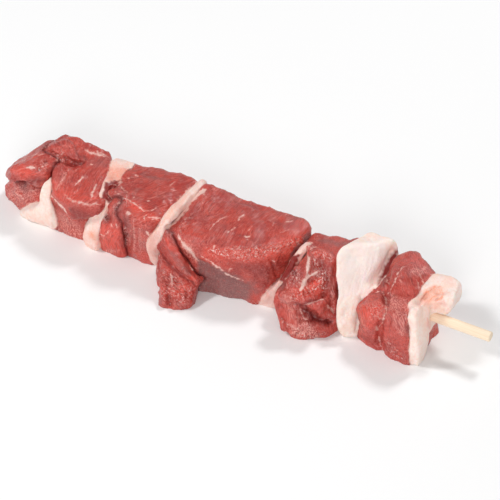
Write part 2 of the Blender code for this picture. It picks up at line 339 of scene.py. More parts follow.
def fold(surface, path, width, rise, fall):
    """Lifts the flesh to the right of the path and sinks it to the left, as a fold's edge."""
    near, share, nearest = nearness(surface, path, even_width(path, width))
    offset = surface.co[near] - path.places[nearest]
    right = (offset * path.sides()[nearest]).sum(1)
    height = np.where(right > 0, rise, -fall) * np.exp(-(share**2))
    ends = np.sin(math.pi * (nearest + 0.5) / len(path)) ** 0.4
    surface.co[near] += surface.normal[near] * (height * ends)[:, None]


def sculpt(surface, shapes):
    for width, height, *pixels in shapes:
        path = cast(surface, pixels)
        if len(path) < 2:
            continue
        if isinstance(height, tuple):
            fold(surface, path, width, *height)
        else:
            push(surface, path, width, height)


# -------- painting


def crook(path, seed):
    """How far a natural line strays to each side of its path, in mm."""
    return 0.45 * noise3(path.places * 0.55, seed + 31) + 0.18 * noise3(path.places * 1.7, seed)


def stroke(surface, layer, path, width, strength, seed):
    """Paints a line along the path, strongest in its middle."""
    if not len(path):
        return
    if len(path) > 2:
        path = Path(path.places + path.sides() * crook(path, seed)[:, None], path.normals)
    near, share, _ = nearness(surface, path, swelling(path, width, seed))
    values = surface.layer(layer)
    values[near] = np.maximum(values[near], strength * np.exp(-(share**2)))


def paint(surface, marks):
    for seed, (layer, width, strength, *pixels) in enumerate(marks):
        stroke(surface, layer, cast(surface, pixels), width, strength, seed)


AREA_WAVE = 1.4
AREA_RAGGED = 1.5
AREA_FACING = (0.0, 0.2)


def fill(surface, layer, corners, softness, strength, seed):
    """Paints what the camera sees inside a convex outline, its corners clockwise in the view."""
    pixels = seen_at(surface.co)
    corners = np.array(corners, float).reshape(-1, 2)
    depth = np.full(len(pixels), np.inf)
    for start, end in zip(corners, np.roll(corners, -1, axis=0)):
        along = (end - start) / np.linalg.norm(end - start)
        offset = pixels - start
        depth = np.minimum(depth, along[0] * offset[:, 1] - along[1] * offset[:, 0])
    depth += AREA_RAGGED * noise3(surface.co / AREA_WAVE, seed)
    facing = ease(surface.normal @ VIEW_BACK, *AREA_FACING)
    surface.at_least(layer, strength * facing * ease(depth, -softness, softness))


def paint_areas(surface, areas):
    for seed, (layer, softness, strength, *corners) in enumerate(areas):
        fill(surface, layer, corners, softness, strength, seed)


WANDER_STEP = 0.6
WANDER_SPREAD = 0.35
WANDER_BEND = 0.3


def wander(surface, start, normal, direction, steps, rng):
    """A path over the surface from a vertex, roughly along a direction."""
    places, normals, place = [], [], start.copy()
    for _ in range(steps):
        places.append(place)
        normals.append(normal)
        ahead = direction + rng.normal(0, WANDER_SPREAD, 3)
        ahead -= normal * (ahead @ normal)
        ahead /= max(np.linalg.norm(ahead), 1e-9)
        hit, found, _, _ = surface.tree.find_nearest(Vector(place + ahead * WANDER_STEP) * MM)
        if not hit or found.dot(Vector(normal)) < WANDER_BEND:
            break
        place, normal = np.array(hit) / MM, np.array(found)
    return Path(places, normals)


UNSEEN = 0.1
UNDERSIDE = -0.6
VEIN_AREA = 5.5**2
VEIN_STEPS = (4, 18)
VEIN_WIDTH = (0.3, 0.6)
VEIN_STRENGTH = (0.5, 1.0)
VEIN_SEEDS = 99
PATCH_AREA = 260
PATCH_WIDTH = (2, 5)
PATCH_STRENGTH = (0.5, 0.9)
PATCH_SEED = 1


def paint_hidden_sides(surface, direction, seed):
    """Veins and patches of silverskin on the sides that the camera doesn't see."""
    rng = np.random.default_rng(seed)
    turned_away = surface.normal @ VIEW_BACK < UNSEEN
    unseen = np.nonzero(turned_away & (surface.normal[:, 2] > UNDERSIDE))[0]
    if not len(unseen):
        return
    area = len(unseen) * FINE_VOXEL**2
    for _ in range(int(area / VEIN_AREA)):
        start = unseen[rng.integers(len(unseen))]
        steps = int(rng.integers(*VEIN_STEPS))
        path = wander(surface, surface.co[start], surface.normal[start], direction, steps, rng)
        width = rng.uniform(*VEIN_WIDTH)
        strength = rng.uniform(*VEIN_STRENGTH)
        stroke(surface, "fat", path, width, strength, int(rng.integers(VEIN_SEEDS)))
    for _ in range(max(1, int(area / PATCH_AREA))):
        start = unseen[rng.integers(len(unseen))]
        path = Path([surface.co[start]], [surface.normal[start]])
        width = rng.uniform(*PATCH_WIDTH)
        stroke(surface, "silver", path, width, rng.uniform(*PATCH_STRENGTH), PATCH_SEED)


# -------- the pieces

COARSE_VOXEL = 0.5
COARSE_SMOOTHING = 3
FINE_VOXEL = 0.36
FINE_SMOOTHING = 1
SHELL = 0.12
FLOOR_LEVEL = 0.02

# Ridges and grooves of each piece: width, height, and the line's pixels as across, down, across,
# down. A pair of heights is a fold: how far it rises to the right of its line and falls to the left.
SHAPES = {
    "meat_1": [
        (1.2, -0.6, 15, 180, 30, 179, 45, 181),
        (0.9, -0.6, 37, 172, 42, 167, 47, 161),
        (0.8, -0.35, 20, 161, 34, 157, 49, 153),
        (0.9, 0.45, 12, 190, 21, 196, 27, 204),
    ],
    "meat_2": [
        (2.4, -1.8, 60, 136, 66, 132, 73, 134),
        (2.0, -1.6, 43, 150, 49, 153, 56, 157),
        (3.4, (1.2, 1.4), 85, 161, 76, 161, 67, 157, 62, 150),
        (1.3, -1.0, 69, 161, 80, 164),
        (1.5, -0.8, 85, 150, 87, 158),
        (0.8, -0.4, 49, 193, 58, 203, 67, 211, 80, 219),
        (0.8, -0.3, 68, 188, 74, 174, 80, 167),
        (0.9, -0.3, 77, 196, 86, 178, 92, 168),
        (0.9, -0.35, 98, 203, 101, 186, 103, 172),
        (0.9, 0.6, 107, 188, 112, 196, 108, 203),
    ],
    "meat_3": [
        (2.1, -2.3, 103, 209, 106, 219),
        (1.3, 0.8, 113, 206, 115, 216, 117, 226),
        (0.6, 0.35, 96, 235, 104, 236, 111, 230),
    ],
    "meat_4": [
        (0.8, -0.5, 123, 186, 127, 192, 131, 198),
        (0.8, 0.4, 116, 192, 122, 197, 131, 203),
        (0.8, -0.5, 122, 180, 135, 177, 150, 175, 170, 178),
        (0.9, -0.5, 131, 208, 131, 230, 130, 250),
        (0.8, -0.4, 138, 215, 137, 235, 138, 252),
        (0.9, -0.35, 145, 224, 143, 240, 144, 256),
        (0.7, 0.35, 134, 222, 134, 240, 134, 255),
        (0.8, 0.3, 133, 203, 144, 210, 157, 214),
    ],
    "meat_5": [
        (1.2, -1.6, 177, 236, 182, 250, 190, 262, 199, 273),
        (1.1, -1.5, 159, 250, 171, 266, 182, 276, 196, 284),
        (0.9, 0.3, 166, 240, 172, 252, 182, 268),
        (0.8, 0.5, 178, 252, 187, 259, 192, 269, 197, 276),
        (0.8, -1.8, 169, 295, 170, 305),
        (0.9, 0.7, 164, 299, 163, 305),
        (0.9, 0.7, 175, 302, 174, 308),
        (0.8, -1.0, 186, 292, 188, 302),
        (1.2, -1.0, 158, 262, 158, 276, 158, 290),
        (0.9, 0.5, 170, 273, 173, 282, 173, 292),
        (0.9, -0.5, 177, 280, 180, 292),
    ],
    "meat_6": [
        (2.4, -0.8, 240, 199, 251, 203, 262, 208),
        (2.2, 0.9, 211, 186, 201, 199, 190, 213, 180, 229),
        (0.7, -0.55, 209, 194, 202, 207, 193, 219, 183, 232, 179, 239),
        (0.7, 0.45, 200, 256, 211, 263, 226, 274, 247, 284),
        (0.7, -0.9, 271, 260, 274, 268, 278, 276),
        (0.6, -0.5, 283, 252, 279, 262, 276, 270),
        (0.8, -0.4, 200, 262, 199, 275, 200, 290),
        (0.8, -0.3, 215, 257, 240, 268, 262, 279, 270, 290),
    ],
    "meat_7": [
        (2.0, 1.4, 292, 298, 303, 292, 316, 288, 325, 279),
        (0.9, -1.3, 293, 304, 303, 305, 316, 300, 326, 294),
        (0.9, -0.8, 298, 287, 306, 283, 315, 277),
        (2.6, -1.5, 322, 258, 325, 274, 325, 290),
        (1.1, -1.0, 337, 262, 334, 280, 332, 296, 334, 310),
        (1.0, -1.0, 306, 252, 300, 262, 297, 276, 288, 288),
        (0.8, -1.0, 291, 268, 295, 275),
        (1.1, -1.3, 277, 286, 283, 280),
        (1.7, -3.2, 302, 308, 310, 315, 318, 320, 332, 322),
        (1.2, 1.1, 309, 248, 310, 262, 306, 275),
        (0.9, 0.9, 319, 271, 308, 279, 301, 290),
        (1.0, -0.6, 313, 262, 320, 270, 318, 280),
        (0.6, 0.4, 302, 304, 312, 303, 325, 299),
        (1.3, 1.5, 282, 321, 284, 328),
        (0.8, -0.4, 296, 308, 301, 320, 305, 332),
        (0.8, -0.35, 289, 304, 294, 318, 297, 330),
    ],
    "meat_8": [
        (2.4, -2.2, 384, 256, 387, 270, 384, 286),
        (1.3, -1.7, 386, 292, 387, 303, 385, 314, 380, 326, 379, 342),
        (0.9, -0.6, 360, 302, 370, 293, 382, 291),
        (2.0, (0.7, 0.7), 387, 296, 391, 289, 396, 279, 402, 267, 412, 262),
        (0.9, -0.7, 409, 296, 409, 315, 411, 335),
        (0.8, 0.5, 377, 322, 378, 330),
    ],
    "fat_2": [
        (1.9, -2.2, 117, 180, 112, 189, 110, 199),
        (1.5, -0.8, 122, 172, 114, 176),
    ],
    "fat_4": [
        (2.4, -1.1, 208, 184, 192, 200, 180, 214, 162, 232),
        (1.6, 1.7, 204, 189, 192, 200, 181, 211, 169, 223),
        (1.6, -0.5, 155, 236, 154, 246, 156, 256),
        (0.5, -0.22, 204, 186, 190, 200, 178, 214, 160, 232),
    ],
    "fat_6": [
        (1.4, -1.5, 283, 276, 288, 268, 295, 259),
        (0.5, -0.3, 303, 254, 288, 270, 271, 300),
        (0.5, 0.25, 297, 258, 283, 275, 264, 302),
    ],
    "fat_7": [
        (2.2, -2.6, 394, 254, 389, 264, 384, 273, 376, 282),
        (1.6, -1.3, 363, 300, 360, 315, 358, 330),
        (0.9, -0.2, 343, 250, 352, 253, 362, 248),
    ],
    "fat_8": [
        (0.5, -0.5, 410, 304, 416, 308),
        (0.45, -0.4, 411, 300, 417, 303),
        (0.45, -0.35, 413, 296, 419, 300),
        (2.2, -3.2, 421, 300, 428, 294, 436, 290, 441, 289),
        (0.6, 0.8, 425, 300, 431, 295, 437, 294),
        (0.5, 0.7, 434, 288, 440, 289, 442, 294),
        (0.6, 0.5, 428, 306, 434, 303, 441, 301),
    ],
}

# Lines painted on each piece: layer, width, strength and the line's pixels.
# On meat, the deep marks are painted shade in creases, gaps, hollows and under overhangs, and the
# pale streak marks are painted sheen.
MARKS = {
    "meat_1": [
        ("fat", 1.1, 1.0, 29, 167, 35, 168),
        ("fat", 0.5, 0.8, 25, 167, 31, 168),
        ("fat", 0.4, 0.7, 22, 158, 31, 156, 49, 153),
        ("fat", 0.3, 0.5, 20, 162, 36, 158),
        ("bright", 2.4, 0.9, 10, 170, 22, 172, 36, 174),
        ("cut", 1.9, 1.0, 37, 171, 42, 167, 47, 162),
        ("sheen_streaks", 3.0, 0.8, 8, 193, 20, 197, 34, 197),
        ("cut", 1.8, 0.9, 4, 195, 12, 202, 20, 207),
        ("fat", 0.4, 0.7, 11, 190, 21, 196, 26, 203),
        ("fat", 0.35, 0.6, 27, 191, 37, 190),
        ("fat", 0.35, 0.6, 6, 194, 14, 199, 20, 204),
        ("deep", 1.8, 0.9, 16, 181, 30, 182, 46, 180),
    ],
    "meat_2": [
        ("cut", 2.2, 1.0, 58, 157, 65, 160),
        ("fat", 0.8, 0.9, 84, 149, 90, 152, 98, 154, 106, 157),
        ("fat", 0.6, 0.8, 95, 150, 104, 154, 110, 158),
        ("fat", 0.35, 0.7, 57, 188, 63, 178, 70, 167, 75, 164),
        ("fat", 0.3, 0.5, 67, 184, 71, 173, 83, 165),
        ("fat", 0.55, 1.0, 75, 186, 81, 180, 83, 175),
        ("fat", 0.5, 1.0, 91, 202, 92, 193, 95, 188, 97, 183),
        ("fat", 0.5, 0.9, 91, 164, 92, 164.5),
        ("fat", 0.3, 0.7, 78, 190, 80, 186),
        ("fat", 0.8, 0.7, 63, 193, 71, 200, 80, 203, 91, 205, 104, 204),
        ("fat", 0.45, 0.8, 69, 201, 71, 195),
        ("fat", 0.7, 1.2, 50, 194, 58, 202, 64, 208, 68, 215),
        ("deep", 2.4, 0.8, 68, 208, 80, 215, 92, 216),
        ("silver", 3.2, 0.45, 88, 162, 100, 163, 107, 166),
        ("fat", 1.0, 0.9, 109, 189, 113, 196, 110, 202),
        ("fat", 0.3, 0.5, 55, 148, 62, 152, 60, 160),
        ("sheen_streaks", 2.8, 0.9, 58, 212, 68, 224, 78, 234),
        ("cut", 1.4, 0.8, 57, 228, 70, 238, 86, 249),
        ("sheen_streaks", 1.5, 0.5, 65, 170, 62, 180, 56, 190),
        ("bright", 3.4, 0.9, 52, 180, 62, 194, 78, 199, 100, 198),
        ("bright", 2.6, 0.7, 68, 138, 76, 146, 80, 154),
        ("deep", 1.1, 1.0, 69, 163, 76, 165, 82, 164),
        ("deep", 0.9, 0.8, 84, 155, 87, 160),
        ("cut", 2.0, 0.7, 62, 215, 70, 222),
    ],
    "meat_3": [
        ("deep", 2.6, 1.0, 103, 209, 107, 219),
        ("fat", 0.4, 0.9, 101, 214, 105, 212, 108, 215),
        ("cut", 1.5, 1.0, 105, 214, 107, 222),
        ("fat", 0.7, 0.9, 111, 223, 112, 227),
        ("fat", 0.5, 0.7, 116, 223, 117, 228),
        ("fat", 0.45, 0.9, 95, 234, 104, 235, 110, 230),
        ("fat", 0.3, 0.6, 101, 240, 104, 238, 103, 234),
        ("sheen_streaks", 1.2, 0.9, 101, 250, 111, 252, 120, 250),
        ("cut", 2.0, 0.6, 113, 208, 117, 212),
    ],
    "meat_4": [
        ("fat", 0.5, 0.8, 120, 185, 124, 189, 128, 193),
        ("fat", 0.45, 0.7, 115, 192, 121, 194),
        ("fat", 0.5, 1.0, 125, 198, 133, 203, 138, 206, 144, 210.5, 151, 210, 157, 208),
        ("fat", 0.7, 1.0, 131, 200, 135, 197),
        ("fat", 0.4, 0.9, 147, 213, 143, 218, 146, 221),
        ("fat", 0.5, 0.9, 147, 216, 155, 218.5, 162, 218.5),
        ("fat", 0.4, 0.7, 151, 219.5, 159, 221),
        ("fat", 0.5, 0.9, 148, 201, 149, 201),
        ("fat", 0.9, 1.0, 128, 213, 129, 214),
        ("fat", 0.8, 1.0, 146, 231, 149.5, 235.5),
        ("fat", 0.4, 0.7, 176, 181, 170, 185, 169, 189),
        ("fat", 0.35, 0.6, 170, 190, 178, 190),
        ("fat", 0.5, 0.8, 136, 175, 138, 176),
        ("fat", 0.5, 0.7, 126, 178, 130, 179),
        ("fat", 0.3, 0.4, 160, 200, 170, 192, 178, 189),
        ("fat", 0.3, 0.4, 162, 206, 168, 202),
        ("fat", 0.4, 0.55, 130, 226, 130, 245),
        ("fat", 0.45, 0.65, 134, 220, 134, 238, 135, 252),
        ("fat", 0.4, 0.6, 139, 226, 139, 240, 140, 255),
        ("fat", 0.4, 0.55, 145, 229, 144, 252),
        ("sheen_streaks", 0.9, 0.9, 134, 225, 134, 240, 135, 250),
        ("sheen_streaks", 0.9, 0.9, 140, 228, 141, 240, 141, 252),
        ("sheen_streaks", 1.0, 0.6, 150, 240, 150, 252),
        ("silver", 1.8, 0.5, 140, 174, 155, 178, 172, 180),
        ("silver", 1.2, 0.5, 128, 215, 129, 230),
        ("bright", 2.6, 0.9, 122, 196, 132, 206, 146, 215, 158, 220),
        ("deep", 1.5, 0.9, 125, 215, 125, 232, 125, 248),
        ("cut", 1.2, 1.0, 126, 226, 126, 246),
        ("cut", 1.8, 0.8, 122, 197, 128, 206),
    ],
    "meat_5": [
        ("fat", 0.7, 0.8, 167, 228, 170, 231, 172, 234),
        ("sheen_streaks", 1.5, 0.8, 166, 229, 171, 234),
        ("fat", 0.45, 0.9, 179, 251, 186, 257, 190, 267, 197, 275),
        ("deep", 1.2, 1.0, 177, 238, 182, 250, 190, 262, 198, 272),
        ("deep", 0.9, 0.9, 160, 252, 171, 266, 182, 276, 195, 284),
        ("bright", 3.0, 0.8, 170, 290, 180, 290, 188, 285),
        ("silver", 2.2, 0.7, 168, 250, 178, 262, 190, 276),
        ("fat", 0.6, 0.8, 169.5, 273, 172, 281, 173, 287),
        ("cut", 3.4, 0.7, 165, 280, 170, 292, 178, 298, 188, 290),
        ("sheen_streaks", 1.5, 0.7, 171, 280, 174, 292),
        ("fat", 0.35, 0.6, 188, 284, 192, 278),
        ("bright", 2.4, 0.9, 165, 238, 174, 253, 186, 269, 195, 281),
    ],
    "meat_6": [
        ("fat", 0.42, 1.0, 208.5, 233.5, 215, 222.5, 227, 215.5),
        ("fat", 0.6, 0.95, 238.5, 222.5, 240, 218.5, 245.5, 214),
        ("fat", 0.4, 0.85, 226, 234.5, 230, 231.5, 236, 227),
        ("fat", 0.9, 1.0, 244, 236, 247, 237.5, 250, 236),
        ("fat", 0.6, 0.9, 247, 238, 247, 241),
        ("fat", 0.6, 0.85, 283.5, 222, 294, 221.5),
        ("fat", 0.35, 0.7, 280, 232.5, 290, 230),
        ("fat", 0.35, 0.6, 246.5, 231.5, 253, 226),
        ("fat", 0.3, 0.5, 270.5, 228, 277, 219.5),
        ("fat", 0.5, 0.8, 213, 248.5, 215, 244.5),
        ("fat", 0.45, 0.9, 203, 196, 204.5, 193),
        ("fat", 0.4, 0.7, 202, 205, 203, 202),
        ("fat", 0.35, 0.6, 254, 243, 260, 237),
        ("fat", 0.3, 0.4, 263, 216, 268, 212),
        ("fat", 0.6, 0.9, 296, 241, 299, 244, 302, 243),
        ("fat", 0.6, 1.0, 271.5, 259.5, 275, 262),
        ("fat", 1.2, 0.9, 177.5, 234, 181.5, 242, 188, 249, 196, 258, 200, 260.5),
        ("fat", 0.42, 1.0, 200, 255, 211, 262, 219, 267, 226, 273, 237, 278, 248, 283),
        ("fat", 0.45, 0.9, 228, 271, 232, 268),
        ("sheen_streaks", 2.4, 1.0, 181, 240, 190, 252, 198, 262),
        ("deep", 4.0, 0.45, 228, 264, 250, 270, 272, 272, 290, 262),
        ("cut", 1.6, 0.9, 205, 293, 225, 299, 245, 303, 261, 306),
        ("silver", 2.2, 0.6, 250, 288, 258, 292),
        ("bright", 3.0, 1.0, 206, 250, 225, 256, 245, 258, 265, 256, 285, 250, 303, 243),
        ("cut", 2.3, 1.0, 214, 250, 226, 253, 240, 255, 258, 253),
        ("cut", 1.8, 1.0, 258, 253, 275, 249, 284, 245, 297, 242, 306, 240),
        ("cut", 1.6, 0.8, 192, 212, 184, 222, 180, 232),
        ("deep", 0.9, 0.8, 272, 262, 276, 272),
        ("deep", 1.8, 0.5, 285, 262, 270, 278, 262, 290),
        ("deep", 1.6, 0.5, 235, 262, 245, 266, 252, 272),
    ],
    "meat_7": [
        ("fat", 0.9, 1.2, 307.5, 254, 308, 266, 306.5, 277),
        ("fat", 1.2, 1.3, 319, 271, 310, 277, 304, 283, 300, 291),
        ("fat", 0.6, 0.7, 309, 250, 314, 247, 319, 248),
        ("fat", 0.5, 1.0, 302.5, 304.5, 311, 303.5, 319, 301.5, 325.5, 298.5),
        ("fat", 0.8, 0.8, 326, 305, 331, 308, 334, 314),
        ("stain", 0.9, 1.0, 333, 317, 334, 319),
        ("fat", 0.45, 0.9, 299, 307, 304.5, 319, 308, 321),
        ("fat", 0.45, 0.8, 296, 316, 298, 321.5),
        ("fat", 0.5, 0.8, 297, 327, 302, 333),
        ("fat", 0.4, 0.7, 308.5, 324.5, 311, 330),
        ("fat", 0.4, 0.7, 329, 263, 333, 259),
        ("sheen_streaks", 2.6, 0.8, 296, 312, 303, 324, 312, 332),
        ("sheen_streaks", 2.4, 0.8, 283, 292, 289, 306, 298, 322),
        ("cut", 1.6, 0.9, 281, 318, 296, 334, 312, 338, 328, 332),
        ("sheen_streaks", 1.5, 0.5, 288, 290, 292, 300),
        ("sheen_streaks", 1.1, 0.6, 333, 265, 331, 285, 334, 305),
        ("deep", 1.1, 1.0, 291, 268, 295, 275),
        ("deep", 1.6, 1.0, 277, 286, 284, 280),
        ("deep", 2.2, 1.2, 303, 308, 312, 317, 324, 322, 332, 322),
        ("deep", 0.8, 0.9, 293, 304, 303, 305, 316, 300),
        ("cut", 2.4, 0.9, 312, 250, 322, 254, 330, 258),
        ("cut", 2.2, 1.0, 291, 298, 303, 292, 318, 286),
        ("bright", 2.4, 0.9, 312, 252, 322, 252, 330, 256),
        # The nub faces down: a brighter red and painted light.
        ("bright", 2.6, 1.0, 292, 297, 303, 292, 316, 288),
        ("deep", 2.0, 0.6, 323, 262, 327, 275, 326, 288),
        ("cut", 3.2, 1.0, 315, 260, 322, 275, 322, 292),
        ("cut", 2.4, 0.8, 292, 262, 297, 285),
        ("silver", 1.8, 0.7, 318, 240, 340, 244, 356, 243),
    ],
    "meat_8": [
        ("fat", 0.5, 0.95, 374, 293, 381.5, 292, 386, 298, 386, 310, 383.5, 321, 378, 329),
        ("fat", 0.8, 1.0, 376, 325, 378, 330),
        ("fat", 0.35, 0.8, 378, 332, 380, 343, 383.5, 350),
        ("fat", 0.5, 0.95, 387, 294.5, 391, 290, 395, 281, 398, 274, 402, 267, 412, 263),
        ("fat", 0.35, 0.6, 398, 275.5, 401, 287),
        ("sheen_streaks", 2.2, 1.0, 411, 273, 418, 270, 425, 268),
        ("sheen_streaks", 3.0, 1.0, 391, 292, 397, 310, 402, 335),
        ("sheen_streaks", 2.0, 0.8, 404, 300, 405, 315),
        ("sheen_streaks", 1.4, 0.5, 362, 318, 366, 330),
        ("deep", 1.3, 0.9, 408, 322, 410, 338),
        ("deep", 2.6, 1.0, 384, 258, 387, 270, 384, 286),
        ("bright", 3.2, 1.0, 364, 316, 371, 309, 379, 306),
        ("bright", 2.6, 0.7, 392, 262, 398, 252, 408, 246),
        ("deep", 1.8, 0.6, 360, 335, 372, 343),
        ("deep", 1.6, 0.7, 441, 311, 446, 316),
        ("cut", 2.4, 0.7, 368, 308, 378, 308, 374, 318),
        ("cut", 2.4, 0.7, 386, 340, 396, 355, 405, 358),
        ("cut", 2.0, 0.7, 370, 306, 380, 310),
        ("cut", 2.6, 0.6, 400, 250, 410, 244, 420, 252),
    ],
    "fat_1": [
        ("stain", 1.1, 0.5, 42, 222, 45, 224),
        ("stain", 1.2, 0.25, 22, 212, 34, 219),
    ],
    "fat_2": [
        ("stain", 1.6, 1.7, 91, 232, 94, 240),
        ("stain", 0.6, 0.6, 96, 236, 103, 236),
        # Blush down fat_2's right side: pink fat, and painted shade of the gap beside the meat.
        ("blush", 2.8, 1.5, 127, 169, 121, 176, 117, 186, 113, 198),
        ("blush", 2.4, 1.6, 113, 172, 112, 182, 114, 190),
        ("stain", 1.2, 0.5, 113, 170, 120, 167),
    ],
    "fat_4": [
        ("stain", 1.5, 0.8, 190, 192, 182, 201, 172, 211, 160, 226),
        ("blush", 1.6, 0.5, 198, 186, 204, 184),
        ("blush", 1.0, 0.35, 153, 238, 152, 250),
    ],
    "fat_6": [
        ("blush", 2.0, 0.8, 300, 256, 288, 270, 275, 290),
    ],
    "fat_7": [
        ("stain", 1.5, 0.55, 352, 252, 360, 249),
        ("stain", 1.4, 0.7, 378, 266, 382, 262),
        ("stain", 1.0, 0.3, 374, 280, 371, 286),
        ("stain", 0.8, 0.25, 359, 266, 361, 268),
    ],
    "fat_8": [
        ("stain", 2.4, 0.75, 424, 305, 434, 297, 448, 293),
        ("stain", 1.6, 0.8, 430, 309, 441, 304),
        ("stain", 0.6, 2.2, 422, 300, 426, 293, 434, 287, 442, 287),
        ("stain", 0.5, 2.2, 427, 303, 432, 297, 439, 295),
        ("stain", 0.6, 2.2, 436, 301, 441, 298, 444, 292),
        ("deep", 0.45, 0.5, 420, 302, 423, 297, 427, 293),
        ("deep", 0.4, 0.45, 434, 300, 439, 298),
        ("blush", 1.4, 0.9, 440, 303, 446, 305),
        ("blush", 1.5, 0.9, 427, 318, 430, 330, 429, 345),
    ],
}

# Areas painted on each piece: layer, softness of the edge in pixels, strength, and the corners
# clockwise in the view.
AREAS = {
    # The deep areas are painted shade: on meat over faces that get less light, on fat in gaps and
    # low parts.
    "meat_1": [
        ("sheen_streaks", 3.0, 0.6, 6, 190, 20, 184, 40, 184, 36, 198, 22, 206),
    ],
    "meat_2": [
        ("sheen_streaks", 3.0, 0.8, 52, 206, 66, 216, 80, 226, 88, 240, 84, 250, 60, 232),
    ],
    "meat_3": [
        ("bright", 4.0, 0.8, 100, 224, 119, 222, 121, 250, 100, 248),
    ],
    "meat_4": [
        ("sheen_streaks", 3.0, 0.2, 130, 212, 148, 218, 150, 250, 140, 257, 130, 250),
        ("deep", 6.0, 0.16, 125, 186, 136, 170, 198, 178, 188, 192, 158, 208, 134, 200),
    ],
    "meat_5": [
        ("cut", 3.0, 0.55, 160, 268, 178, 276, 194, 288, 186, 306, 162, 300),
    ],
    "meat_6": [
        ("fat", 1.5, 1.3, 186, 203, 203, 188, 206, 189, 195, 200, 188, 206),
        ("fat", 1.5, 1.3, 172, 218, 186, 203, 190, 203, 188, 209, 179, 219, 166, 231),
        ("deep", 8.0, 0.12, 212, 196, 296, 213, 300, 230, 262, 240, 205, 235, 190, 222),
        ("silver", 1.8, 1.1, 198, 258, 213, 265, 228, 272, 238, 277, 236, 300, 198, 293),
        ("silver", 5.0, 1.0, 225, 271, 240, 278, 254, 285, 248, 302, 225, 298),
        ("bright", 4.0, 0.9, 204, 245, 228, 249, 232, 263, 204, 257),
        ("bright", 4.0, 0.9, 228, 248, 262, 247, 262, 263, 232, 263),
        ("bright", 4.0, 0.9, 262, 246, 305, 232, 307, 244, 262, 262),
        ("cut", 3.0, 1.0, 206, 247, 228, 249, 232, 259, 210, 255),
        ("cut", 3.0, 1.0, 228, 247, 262, 246, 262, 258, 232, 259),
        ("cut", 3.0, 0.9, 262, 246, 303, 235, 305, 243, 262, 257),
    ],
    "meat_7": [
        ("sheen_streaks", 3.0, 1.3, 284, 304, 298, 308, 312, 326, 330, 326, 318, 338, 292, 334),
        # The nub faces down: a brighter red and painted light.
        ("bright", 3.0, 1.0, 292, 290, 316, 278, 326, 282, 318, 296, 294, 301),
    ],
    "meat_8": [
        ("bright", 5.0, 0.7, 360, 306, 372, 300, 382, 304, 380, 322, 366, 330),
    ],
    "fat_2": [
        ("blush", 2.0, 1.3, 108, 168, 126, 168, 121, 181, 106, 182),
        ("deep", 1.2, 1.0, 105, 182, 120, 181, 117, 192, 110, 203, 102, 198),
        ("stain", 3.0, 0.8, 108, 164, 128, 166, 123, 181, 106, 182),
    ],
    "fat_4": [
        # The low part of fat_4: pinker fat with painted shade over it.
        ("blush", 3.0, 0.85, 148, 232, 160, 230, 166, 256, 156, 264, 146, 252),
        ("deep", 5.0, 0.18, 148, 234, 160, 232, 166, 256, 156, 264, 146, 252),
    ],
    "fat_6": [
        ("deep", 1.5, 1.0, 281, 266, 292, 254, 300, 255, 294, 270, 284, 282, 278, 280),
        ("deep", 3.0, 0.20, 256, 300, 272, 280, 290, 268, 294, 272, 284, 290, 272, 308),
    ],
    "fat_7": [
        # Painted light over most of fat_7, whose face is turned away from the lamps.
        ("painted_light", 6.0, 1.0, 338, 251, 352, 243, 386, 240, 384, 262, 364, 292, 334, 302),
        ("deep", 2.5, 1.1, 390, 250, 399, 250, 393, 268, 378, 286, 374, 283, 384, 267),
    ],
    "fat_8": [
        ("stain", 1.5, 1.1, 420, 299, 425, 290, 434, 285, 441, 286, 443, 292, 438, 299, 428, 304),
    ],
}

# Two pixels of the view that give the way the fibres of each chunk run, and how they fan out.
FIBRES = {
    "meat_1": ((16, 172), (40, 160), 0.0),
    "meat_2": ((75, 186), (84, 168), 0.012),
    "meat_3": ((112, 246), (114, 228), 0.0),
    "meat_4": ((140, 200), (172, 190), 0.0),
    "meat_5": ((168, 246), (190, 272), 0.0),
    "meat_6": ((210, 232), (228, 214), 0.0),
    "meat_7": ((322, 292), (316, 262), 0.0),
    "meat_8": ((400, 338), (393, 300), 0.0),
}
FAT_FIBRES = {
    "fat_1": ((44, 190), (38, 218), 0.0),
    "fat_2": ((98, 222), (90, 248), 0.0),
    "fat_4": ((160, 232), (195, 192), 0.0),
    "fat_6": ((270, 298), (290, 268), 0.0),
    "fat_7": ((350, 320), (368, 262), 0.0),
    "fat_8": ((417, 350), (417, 320), 0.0),
}

# Relief: sizes across the surface, then heights. Fat has less of it than meat.
LUMP_SIZE, LUMP_HEIGHT = 6.5, 0.52
GRAIN_SIZE, GRAIN_HEIGHT = 2.2, 0.16
FAT_SOFTNESS = 0.45
FIBRE_SCALE = np.array([1 / 11.0, 1 / 1.3, 1 / 1.3])
FIBRE_HEIGHT = 0.14
FIBRE_BEND_SIZE, FIBRE_BEND = 14.0, 2.2
RAGGED_SIZE, RAGGED_HEIGHT = 1.0, 0.62
RAGGED_EDGES = (0.08, 0.35)
VEIN_HEIGHT = 0.05
SHARPEN = 0.75
SHARPEN_STEPS = 60
SHARPEN_LIMITS = (-1.4, 1.1)

# How the flesh closes on the stick: the room that it fills, and how deep it goes into the stick.
STICK_ROOM = 1.6
STICK_BITE = 0.25

# Distances from a neighbour at which an effect is absent and at which it is full.
CREASES = (1.6, 0.3)
FAT_SWELLS = (1.4, 0.3)
FAT_BLUSHES = (1.5, 0.1)
FAT_CLINGS = (0.75, 0.1)
FAT_REACH = 3.0
CLING_REACH = 1.5
MEAT_SWELL = 0.14
FAT_SWELL = 0.30
# How much of the blush each layer of fat has all over.
FAT_BLUSH = {"fat_1": 0.26, "fat_2": 0.66, "fat_4": 0.68, "fat_6": 0.95, "fat_7": 0.0, "fat_8": 0.26}


